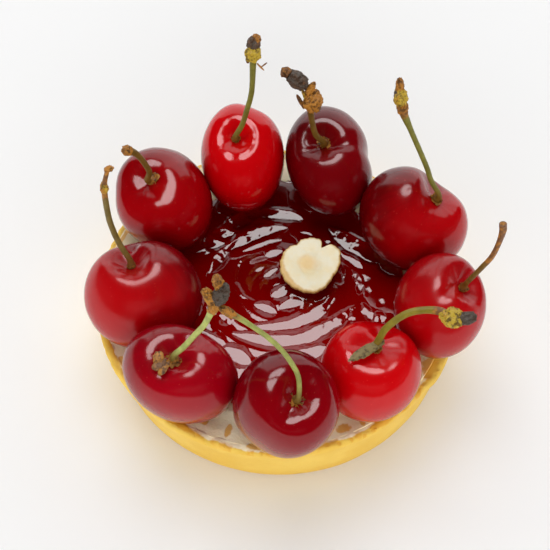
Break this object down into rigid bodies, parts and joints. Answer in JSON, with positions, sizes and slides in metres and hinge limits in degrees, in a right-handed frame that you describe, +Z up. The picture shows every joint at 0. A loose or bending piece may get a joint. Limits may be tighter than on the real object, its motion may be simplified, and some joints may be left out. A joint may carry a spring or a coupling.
{
  "type": "cherry tart",
  "caption": "Small round shortcrust tart filled with vanilla cream, topped with a swirl of cherry jelly, half a hazelnut and a ring of whole cherries with stems.",
  "frame": {"origin": "middle of the flat underside of the pastry shell", "axes": "+Z up from the table; -Y towards the front of the tart, where the paired stems are; +X to the right seen from the front"},
  "size_m": [0.0934, 0.0945, 0.0705],
  "materials": {
    "crust": "matt baked shortcrust, pale golden yellow with orange patches on the rim",
    "cream": "satin baked vanilla cream, pale beige with golden brown spots",
    "jelly": "wet, glossy, dark red",
    "nut": "satin cut kernel, cream coloured",
    "red_skin": "glossy bright red fruit skin",
    "dark_skin": "glossy dark red fruit skin",
    "stalk": "satin olive green stalk with dried brown ends"
  },
  "bodies": {
    "root": {"pastry_shell": "crust", "vanilla_cream": "cream", "cherry_jelly": "jelly", "hazelnut_half": "nut", "cherry_1": "red_skin", "cherry_2": "dark_skin", "cherry_3": "dark_skin", "cherry_4": "red_skin", "cherry_5": "red_skin", "cherry_6": "dark_skin", "cherry_7": "dark_skin", "cherry_8": "red_skin", "cherry_9": "dark_skin", "stem_1": "stalk", "stem_2": "stalk", "stem_3": "stalk", "stem_4": "stalk", "stem_5": "stalk", "stem_6": "stalk", "stem_7": "stalk", "stem_8": "stalk", "stem_9": "stalk"}
  },
  "joints": []
}
